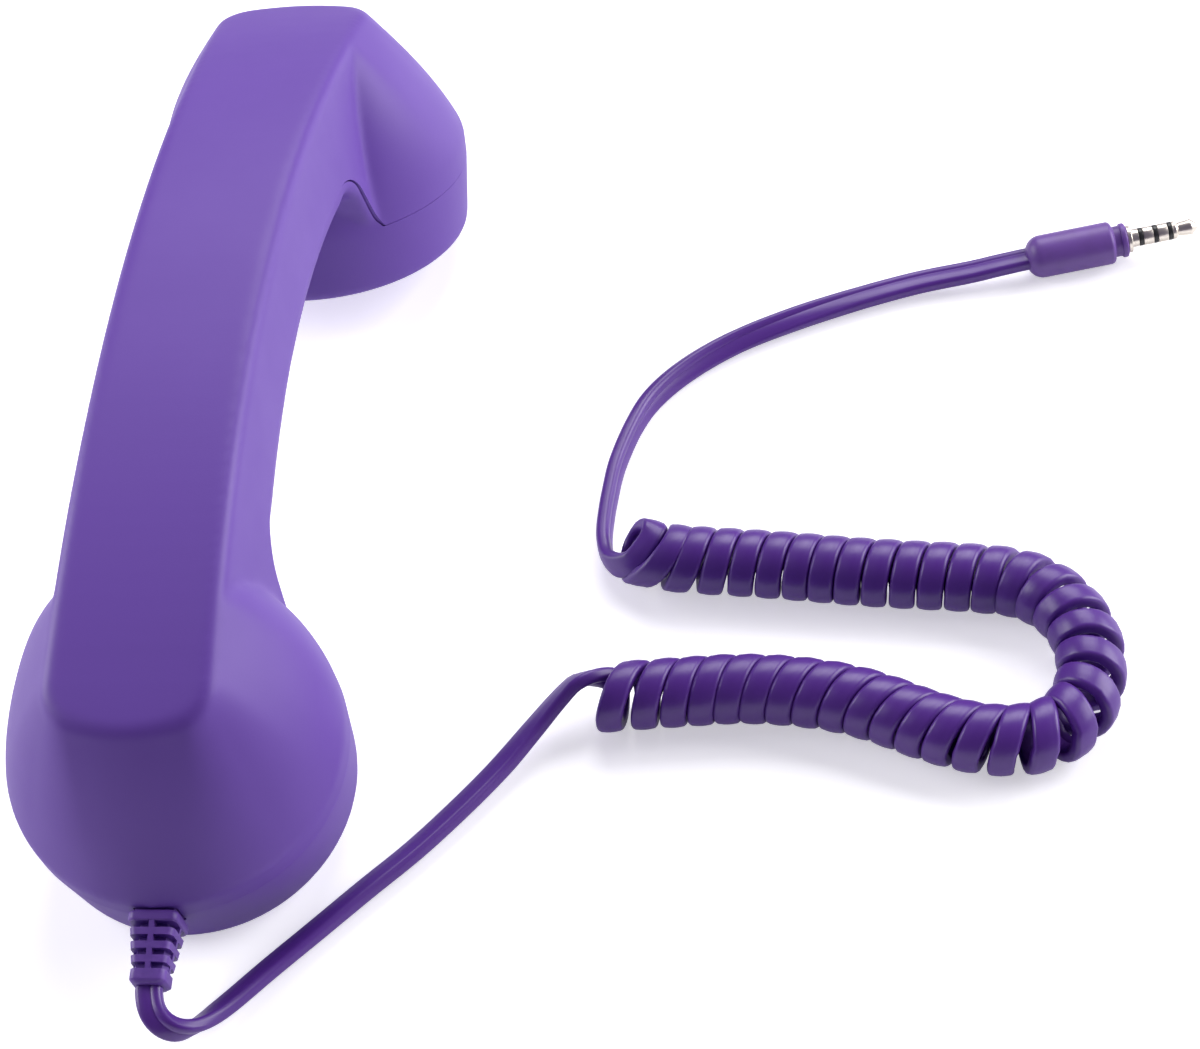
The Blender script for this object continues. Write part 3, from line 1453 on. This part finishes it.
@dataclass
class HeadsetPlug:
    """The moulded grip and the four contacts of the pin with their three bands."""

    rear: Vector = field(default_factory=lambda: Vector((139.2, 59.8, 4.2)) * MM)
    heading: float = math.radians(14.0)
    radius: float = 4.1 * MM
    body: float = 17.0 * MM
    rear_round: float = 3.3 * MM
    rear_flatness: float = 0.95
    shoulder: float = 0.9 * MM
    fillet: float = 0.2 * MM
    bead: float = 0.4 * MM
    mouth_radius: float = 2.2 * MM
    neck_radius: float = 2.95 * MM
    collar_radius: float = 3.3 * MM
    lip: float = 1.2 * MM
    collar: float = 2.6 * MM
    pin_radius: float = 1.75 * MM
    pin_length: float = 14.0 * MM
    band: float = 0.75 * MM
    gap: float = 0.1 * MM
    flange_radius: float = 2.6 * MM
    flange: float = 0.8 * MM
    flange_edge: float = 0.12 * MM
    sleeve: float = 1.4 * MM
    ring: float = 1.9 * MM
    tip_root: tuple = ((1.7, 0.0), (1.75, 0.05), (1.75, 0.6), (1.63, 0.75), (1.35, 1.0), (1.25, 1.1),
                       (1.25, 1.25), (1.31, 1.4))
    tip_point: tuple = ((1.5, 1.75), (1.57, 1.55), (1.5, 1.3), (0.6, 0.3), (0.4, 0.1), (0.2, 0.02),
                        (0.0, 0.0))

    def direction(self) -> Vector:
        """The way the plug points."""
        return Vector((math.cos(self.heading), math.sin(self.heading), 0))

    def turned(self, name: str, profile: Sequence[Pair], steps: int = 64) -> bpy.types.Object:
        """Spins a profile about the plug's axis."""
        return spun(name, self.rear, self.direction(), profile, steps)

    def build_grip(self) -> bpy.types.Object:
        """Builds the grip: a domed rear, a straight body, a shoulder and a collar.

        Returns:
            The finished piece.
        """
        flat = self.radius - self.rear_round
        shoulder, fillet, bead = self.shoulder, self.fillet, self.bead
        profile = [(0, 0), (flat * 0.6, 0)]
        profile += [(radius, self.rear_flatness * along) for radius, along in
                    arc((flat, self.rear_round), self.rear_round, -90, 0, 12)]
        profile += arc((self.radius - shoulder, self.body - shoulder), shoulder, 0, 90, 8)
        end = self.body + self.collar
        step = end - self.lip
        profile += [(self.neck_radius + fillet, self.body), (self.neck_radius, self.body + fillet),
                    (self.neck_radius, step - fillet), (self.neck_radius + SOFT_EDGE, step)]
        profile += arc((self.collar_radius - bead, step + bead), bead, -90, 0, 5)
        profile += arc((self.collar_radius - bead, end - bead), bead, 0, 90, 5)
        recess = 2 * SOFT_EDGE
        profile += [(self.mouth_radius + recess, end), (self.mouth_radius, end - recess), (0, end - recess)]
        return seat(self.turned("plug_grip", profile), GRIP_VINYL, "cord_plastic", ROOT_BODY, "plug_body")

    def disc(self, name: str, start: float, length: float, radius: float) -> bpy.types.Object:
        """A short turned disc with soft edges."""
        end = start + length
        soft, part = SOFT_EDGE, SOFT_EDGE * 0.3
        profile = [(0, start), (radius - soft, start), (radius - part, start + part),
                   (radius, start + soft), (radius, end - soft), (radius - part, end - part),
                   (radius - soft, end), (0, end)]
        return self.turned(name, profile)

    def build(self) -> list[bpy.types.Object]:
        """Builds and seats the grip and every contact and band.

        Returns:
            The pieces of the plug, which go with the cord.
        """
        pieces = [self.build_grip()]
        length = self.body + self.collar
        at = length + self.gap
        flange_end = at + self.flange
        sleeve_end = flange_end + self.sleeve
        soft = self.flange_edge
        sleeve = self.turned("plug_contact_sleeve", [
            (0, at), (self.flange_radius - soft, at), (self.flange_radius, at + soft),
            (self.flange_radius, flange_end - soft), (self.flange_radius - soft, flange_end),
            (self.pin_radius + soft, flange_end), (self.pin_radius, flange_end + soft),
            (self.pin_radius, sleeve_end - SOFT_EDGE), (self.pin_radius - SOFT_EDGE, sleeve_end),
            (0, sleeve_end)])
        pieces.append(seat(sleeve, CHROME, "bright_plating", ROOT_BODY, "plug_sleeve"))
        at = sleeve_end + self.gap
        for number, name in ((1, "rear"), (2, "front"), (3, None)):
            band = self.disc(f"plug_band_{number}", at, self.band, self.pin_radius)
            pieces.append(seat(band, BAND_PLASTIC, "black_plastic", ROOT_BODY, f"plug_insulator_{number}"))
            at += self.band + self.gap
            if name:
                ring = self.disc(f"plug_contact_{name}", at, self.ring, self.pin_radius)
                pieces.append(seat(ring, CHROME, "bright_plating", ROOT_BODY, f"plug_ring_{name}"))
                at += self.ring + self.gap
        tip = length + self.pin_length
        profile = [(0, at)] + [(radius * MM, at + along * MM) for radius, along in self.tip_root]
        profile += [(radius * MM, tip - back * MM) for radius, back in self.tip_point]
        pieces.append(seat(self.turned("plug_contact_tip", profile), CHROME, "bright_plating", ROOT_BODY,
                           "plug_tip"))
        return pieces


# ---------------------------------------------------------------- cord


@dataclass
class CurlyCord:
    """The flat twin cord: a lead, a left-hand coil of about 37 turns, and a second lead."""

    width: float = 4.6 * MM
    thickness: float = 2.6 * MM
    coil_radius: float = 6.2 * MM
    start_angle: float = math.radians(-50)
    turns: float = 36.86
    steps_per_turn: int = 28
    corner: float = 0.87 * MM
    crown: float = 0.13 * MM
    groove: float = 0.11 * MM
    groove_width: float = 0.24 * MM
    groove_share: float = 0.25
    ease_length: float = 5.5 * MM
    step: float = 1.2 * MM
    tuck: float = 1.5 * MM
    straight: float = 1.2 * MM
    fine_points: int = 48
    fixed_points: int = 4
    bend_rounds: int = 12
    twist_rounds: int = 10
    join_step: float = 1.1 * MM
    join_rounds: int = 30
    face_rounds: int = 24
    handset_turns: tuple = (
        (0.0, 180.0), (0.045, 172.0), (0.075, 130.0), (0.13, 45.0), (0.18, 25.0), (0.8, 20.0), (1.0, 40.0))
    plug_turns: tuple = ((0.0, 20.0), (0.09, 95.0), (0.35, 95.0), (0.75, 170.0), (1.0, 180.0))
    handset_route: tuple = (
        (0.5, -118.4, 9.2), (1.7, -120.2, 8.2), (3.7, -121.2, 7.1), (6.1, -120.7, 5.8),
        (8.4, -118.1, 4.5), (11.6, -113.4, 3.2), (17.1, -105.9, 2.5), (24.1, -97.6, 2.4),
        (31.3, -89.1, 2.4), (38.7, -80.6, 2.4), (45.4, -71.9, 2.6), (51.5, -63.3, 3.0),
        (56.9, -55.6, 4.5), (61.0, -51.0, 6.7), (64.4, -48.3, 8.7), (67.4, -46.9, 9.8),
    )
    coil_route: tuple = (
        (66.0, -50.4), (69.0, -50.2), (73.0, -49.8), (83.0, -49.0), (93.0, -48.4), (102.5, -49.0),
        (111.8, -50.8), (119.1, -53.5), (126.1, -56.7), (133.3, -59.2), (139.6, -60.1), (145.6, -59.3),
        (150.2, -56.3),
        (153.1, -51.0), (153.9, -44.5), (153.0, -38.2), (150.2, -32.2), (146.0, -27.6), (140.4, -24.6),
        (131.8, -23.2), (122.2, -22.4), (112.5, -21.5), (103.0, -20.3), (93.5, -19.2), (84.0, -18.3),
        (78.5, -17.6), (74.2, -16.6), (70.2, -15.2), (66.0, -13.5),
    )
    coil_height: float = 6.3 * MM
    plug_route: tuple = (
        (74.8, -17.3, 9.9), (73.2, -18.7, 8.4), (70.6, -18.9, 6.4), (67.8, -17.4, 4.3),
        (65.6, -14.6, 3.0), (64.5, -11.3, 2.6), (64.0, -7.8, 2.5), (63.9, -3.6, 2.5), (64.0, 1.0, 2.5),
        (64.6, 9.4, 2.5), (66.9, 19.7, 2.5),
        (70.1, 27.2, 2.4), (76.0, 34.4, 2.4), (84.1, 40.9, 2.4), (94.3, 46.5, 2.4), (105.6, 51.4, 2.4),
        (117.9, 55.6, 2.6), (128.6, 57.5, 3.4), (133.6, 58.45, 3.95), (138.9, 59.73, 4.2),
        (140.6, 60.15, 4.2),
    )
    turn_marks: tuple = (
        (0.0, 3.3), (0.611, 5.3), (1, 8.2), (2, 13.7), (3, 18.6), (4, 23.4), (5, 28.2), (6, 33.1),
        (7, 38.0), (8, 43.1), (9, 48.4), (10, 53.6), (11, 58.7), (12, 63.4), (13, 68.1), (14, 73.1),
        (15, 78.2), (16, 83.5), (17.035, 89.2), (18.08, 95.4), (19.11, 102.1), (20.155, 108.6),
        (21.18, 114.8), (22.21, 120.6), (23.22, 126.0), (24.22, 131.1), (25.23, 136.1), (26.23, 141.1),
        (27.23, 146.0), (28.22, 151.0), (29.22, 155.8), (30.22, 160.5), (31.22, 165.2), (32.22, 170.2),
        (33.22, 175.2), (34.22, 180.5), (35.22, 186.1), (36.22, 191.7), (37.22, 197.0),
    )
    fall: float = 0.8
    fall_rate: float = 0.8
    fall_turn: float = 36.2
    fall_hold: float = 0.25
    lean_marks: tuple = ((0.0, 0.0), (22.0, 0.0), (24.0, -0.03), (38.0, -0.03))
    yaw_marks: tuple = ((0.0, -0.25), (14.0, -0.25), (18.0, 0.0), (36.2, 0.0), (36.6, 0.4), (38.0, 0.4))

    def section(self) -> list[Pair]:
        """The cord's outline: a slightly crowned, rounded oblong with one fine groove inside.

        Returns:
            Pairs of distance across and distance out.
        """
        flat = self.width / 2 - self.corner
        rise = self.thickness / 2 - self.corner
        top = rise - self.crown
        middle = self.groove_share * self.width / 2
        outline = arc((flat, top), self.corner, 0, 90, 6)
        outline += [(flat * share, self.thickness / 2 - self.crown * share ** 2)
                    for share in (0.5, 0.0, -0.5)]
        outline += arc((-flat, top), self.corner, 90, 180, 6)
        outline += arc((-flat, -rise), self.corner, 180, 270, 5)
        outline += [(middle + step * self.groove_width, self.groove * share - self.thickness / 2)
                    for step, share in ((-1.0, 0.0), (-0.5, 0.75), (0.0, 1.0), (0.5, 0.75), (1.0, 0.0))]
        return outline + arc((flat, -rise), self.corner, 270, 360, 5)

    def coil(self) -> list[tuple[Vector, Vector]]:
        """Points of the coil and the way its outer face looks at each."""
        line = flow([Vector((x, y, self.coil_height / MM)) * MM for x, y in self.coil_route], 1.0 * MM)
        lengths = distances(line)
        count = round(self.turns * self.steps_per_turn)
        stations = []
        k = 0
        radius = self.coil_radius - self.thickness / 2
        for step in range(count + 1):
            wanted = step / self.steps_per_turn
            at = between(self.turn_marks, wanted) * MM
            while k < len(lengths) - 2 and lengths[k + 1] < at:
                k += 1
            t = (at - lengths[k]) / (lengths[k + 1] - lengths[k])
            centre = line[k].lerp(line[k + 1], min(max(t, 0), 1))
            low, high = max(k - 3, 0), min(k + 4, len(line) - 1)
            tangent = (line[high] - line[low]).normalized()
            side = tangent.cross(Z_AXIS)
            angle = self.start_angle - 2 * math.pi * wanted
            out = Z_AXIS * math.cos(angle) + side * math.sin(angle)
            past = min(wanted - self.fall_turn, self.fall_hold)
            lean = between(self.lean_marks, wanted) + self.fall * math.exp(past * self.fall_rate)
            yaw = between(self.yaw_marks, wanted)
            sway = yaw * math.sin(angle) - lean * math.cos(angle)
            point = centre + (out + tangent * sway) * radius
            stations.append((point, out))
        return stations

    def lead_faces(self, points: Sequence[Vector], marks: Sequence[Pair]) -> list[Vector]:
        """The way a lead's outer face looks along its length.

        Args:
            points: The lead's points.
            marks: Pairs of a share of its length and an angle in degrees from straight up,
                towards the left of its way.

        Returns:
            One direction for each point.
        """
        lengths = distances(points)
        faces = []
        for i, length in enumerate(lengths):
            way = heading_at(points, i)
            left = Z_AXIS.cross(way).normalized()
            up = way.cross(left)
            turn = math.radians(between(marks, length / lengths[-1]))
            faces.append(up * math.cos(turn) + left * math.sin(turn))
        return faces

    def relax(self, rows: list[Vector], rounds: int) -> None:
        """Eases the first points or directions of a lead, where it bends tightly.

        Args:
            rows: The points or the directions, changed in place.
            rounds: How many times each is moved towards its neighbours' mean.
        """
        for _ in range(rounds):
            for i in range(self.fixed_points, self.fine_points):
                rows[i] = rows[i].lerp((rows[i - 1] + rows[i + 1]) / 2, 0.5)

    def stations(self) -> tuple[list[Vector], list[Vector]]:
        """The whole centreline, with the way the outer face looks.

        Returns:
            The points and the directions, one for each.
        """
        mouth, outward, _ = FORM.relief_frame()
        end = mouth + outward * CordBoot().length
        lead = [end - outward * self.tuck, end, end + outward * self.straight]
        lead += [Vector(point) * MM for point in self.handset_route]
        coil = self.coil()
        fine = flow(lead, self.step / 2)
        self.relax(fine, self.bend_rounds)
        first = fine[:self.fine_points] + fine[self.fine_points::2]
        second = flow([Vector(point) * MM for point in self.plug_route], self.step)
        first_faces = self.lead_faces(first, self.handset_turns)
        self.relax(first_faces, self.twist_rounds)
        second_faces = self.lead_faces(second, self.plug_turns)
        points = first + [point for point, _ in coil] + second
        faces = first_faces + [face for _, face in coil] + second_faces
        joins = (len(first), len(first) + len(coil))
        return self.even_out(points, faces, joins)

    def even_out(self, points: list[Vector], faces: list[Vector],
                 joins: Sequence[int]) -> tuple[list[Vector], list[Vector]]:
        """Eases the centreline and its faces where a lead meets the coil.

        Args:
            points: The centreline.
            faces: The outer face's directions.
            joins: Where one stretch ends and the next begins.

        Returns:
            The eased points and directions.
        """
        reach = round(self.ease_length / self.join_step)
        spots = [(i, ease(1 - abs(i - join) / reach))
                 for join in joins for i in range(join - reach, join + reach)]
        for _ in range(self.join_rounds):
            for i, fade in spots:
                points[i] = points[i].lerp((points[i - 1] + points[i + 1]) / 2, 0.5 * fade)
        for _ in range(self.face_rounds):
            for i, fade in spots:
                mean = faces[i - 1] + faces[i + 1]
                if mean.length > 0.2:
                    faces[i] = faces[i].lerp(mean.normalized(), 0.6 * fade).normalized()
        return points, faces

    def build(self, companions: list[bpy.types.Object]) -> bpy.types.Object:
        """Args:
            companions: The pieces on the cord, its plug.

        Returns:
            The finished piece.
        """
        points, faces = self.stations()
        outline = self.section()
        rings = []
        for i, point in enumerate(points):
            way = heading_at(points, i)
            out = (faces[i] - way * faces[i].dot(way)).normalized()
            across = way.cross(out)
            rings.append([point + across * x + out * y for x, y in outline])
        piece = rows_of_rings("flat_curly_cord", rings, split_caps=False, with_uv=True)
        seat(piece, CORD_VINYL, "cord_plastic", ROOT_BODY, "cord_lead_handset", "curly_cord",
             "cord_lead_plug", angle=60)
        return piece


# ---------------------------------------------------------------- carried-over nodes


CARRIED: dict[str, Finish] = {
    "housing_screw_ear_left": ZINC_STEEL, "housing_screw_ear_right": ZINC_STEEL,
    "housing_screw_mouth_left": ZINC_STEEL, "housing_screw_mouth_right": ZINC_STEEL,
    "board_screw_ear": ZINC_STEEL, "board_screw_mouth": ZINC_STEEL,
    "weight_screw_ear": ZINC_STEEL, "weight_screw_mouth": ZINC_STEEL, "receiver_frame": ZINC_STEEL,
    "weight_bar": WEIGHT_STEEL, "receiver_gasket": FOAM, "receiver_diaphragm": CONE_FILM,
    "receiver_magnet": FERRITE, "receiver_wires": RED_INSULATION, "microphone_wires": RED_INSULATION,
    "microphone_boot": SOFT_RUBBER, "microphone_capsule": CAPSULE_CAN, "inner_lead": BLACK_PLASTIC,
    "switch_plunger": BLACK_PLASTIC, "switch_body": BLACK_PLASTIC, "circuit_board": LAMINATE,
}


def dress_inside() -> None:
    """Gives every carried-over node its procedural finish."""
    for name, finish in CARRIED.items():
        WARDROBE.dress(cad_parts[name], finish)
        LOG.info("%s: dressed in %s", name, finish.name)


# ---------------------------------------------------------------- studio


@dataclass
class Studio:
    """The camera at the photograph's angle, the pale floor and the soft lights."""

    azimuth: float = math.radians(15.145)
    elevation: float = math.radians(46.802)
    roll: float = math.radians(-12.036)
    distance: float = 0.682763
    target: tuple[float, float, float] = (0.062373, -0.003453, 0.0)
    lens: float = 110.465
    floor_size: float = 6.0
    floor_glow: float = 0.5
    aim: tuple[float, float, float] = (0.05, 0.0, 0.02)
    lights: tuple = (("right_light", (1.22, 0.4, 0.56), 1.05, 22.0),
                     ("left_light", (-1.15, 0.1, 0.6), 0.9, 15.5),
                     ("back_light", (0.1, 1.1, 1.2), 1.0, 16.0))
    air_colour: Colour = (0.72, 0.64, 1.0, 1)
    air_strength: float = 0.16

    def build_camera(self) -> None:
        """Places the camera and makes it the scene's own."""
        back = Vector((math.sin(self.azimuth) * math.cos(self.elevation),
                       -math.cos(self.azimuth) * math.cos(self.elevation), math.sin(self.elevation)))
        right = Vector((math.cos(self.azimuth), math.sin(self.azimuth), 0))
        up = back.cross(right)
        rolled_right = right * math.cos(self.roll) + up * math.sin(self.roll)
        rolled_up = up * math.cos(self.roll) - right * math.sin(self.roll)
        data = bpy.data.cameras.new("studio_camera")
        data.lens = self.lens
        data.sensor_width = 36.0
        data.clip_start = 0.01
        data.clip_end = 20.0
        camera = bpy.data.objects.new("studio_camera", data)
        bpy.context.scene.collection.objects.link(camera)
        turn = Matrix((rolled_right, rolled_up, back)).transposed().to_4x4()
        camera.matrix_world = Matrix.Translation(Vector(self.target) + back * self.distance) @ turn
        bpy.context.scene.camera = camera

    def build_floor(self) -> None:
        """Lays the plain pale floor."""
        shape = bmesh.new()
        bmesh.ops.create_grid(shape, x_segments=1, y_segments=1, size=self.floor_size / 2)
        floor = shown("studio_floor", shape, outward=False)
        paper = bpy.data.materials.new("white_paper")
        paper.use_nodes = True
        shader = paper.node_tree.nodes["Principled BSDF"]
        shader.inputs["Base Color"].default_value = (0.9, 0.9, 0.9, 1)
        shader.inputs["Roughness"].default_value = 0.9
        shader.inputs["Specular IOR Level"].default_value = 0.1
        sheet = Sheet(paper.node_tree)
        seen = sheet.node("ShaderNodeLightPath").outputs["Is Camera Ray"]
        sheet.feed(shader.inputs["Emission Color"], sheet.blend(seen, (0.4, 0.4, 0.4, 1), (1, 1, 1, 1)))
        shader.inputs["Emission Strength"].default_value = self.floor_glow
        floor.data.materials.append(paper)

    def light(self, name: str, place: tuple[float, float, float], size: float, power: float) -> None:
        """Adds a soft square light that faces the handset.

        Args:
            name: Its name.
            place: Where it hangs.
            size: The length of its sides.
            power: Its power in watts.
        """
        data = bpy.data.lights.new(name, "AREA")
        data.shape = "SQUARE"
        data.size = size
        data.energy = power
        lamp = bpy.data.objects.new(name, data)
        bpy.context.scene.collection.objects.link(lamp)
        where = Vector(place)
        lamp.matrix_world = placement(where, where - Vector(self.aim))

    def build(self) -> None:
        """Builds the whole studio."""
        self.build_camera()
        self.build_floor()
        for row in self.lights:
            self.light(*row)
        world = bpy.data.worlds.new("studio_air")
        bpy.context.scene.world = world
        world.use_nodes = True
        air = world.node_tree.nodes["Background"]
        air.inputs["Color"].default_value = self.air_colour
        air.inputs["Strength"].default_value = self.air_strength
        bpy.context.scene.view_settings.view_transform = "Standard"


EAR_COVER = FaceCover(Face.EAR, "earpiece_grille", "earpiece_cover", 1.1 * MM,
                      ((5.5 * MM, 6), (11.0 * MM, 12)))
MOUTH_COVER = FaceCover(Face.MOUTH, "mouthpiece_grille", "mouthpiece_cover", 0.9 * MM, ((4.2 * MM, 6),))


def main() -> None:
    """Builds the studio, the cord and every other sub-assembly in order."""
    logging.basicConfig(level=logging.INFO, format="%(message)s")
    Studio().build()
    CurlyCord().build(HeadsetPlug().build())
    CordBoot().build()
    Housing(FORM, INSIDE).build()
    EAR_COVER.build()
    MOUTH_COVER.build()
    AnswerKey().build()
    dress_inside()


if __name__ == "__main__":
    main()
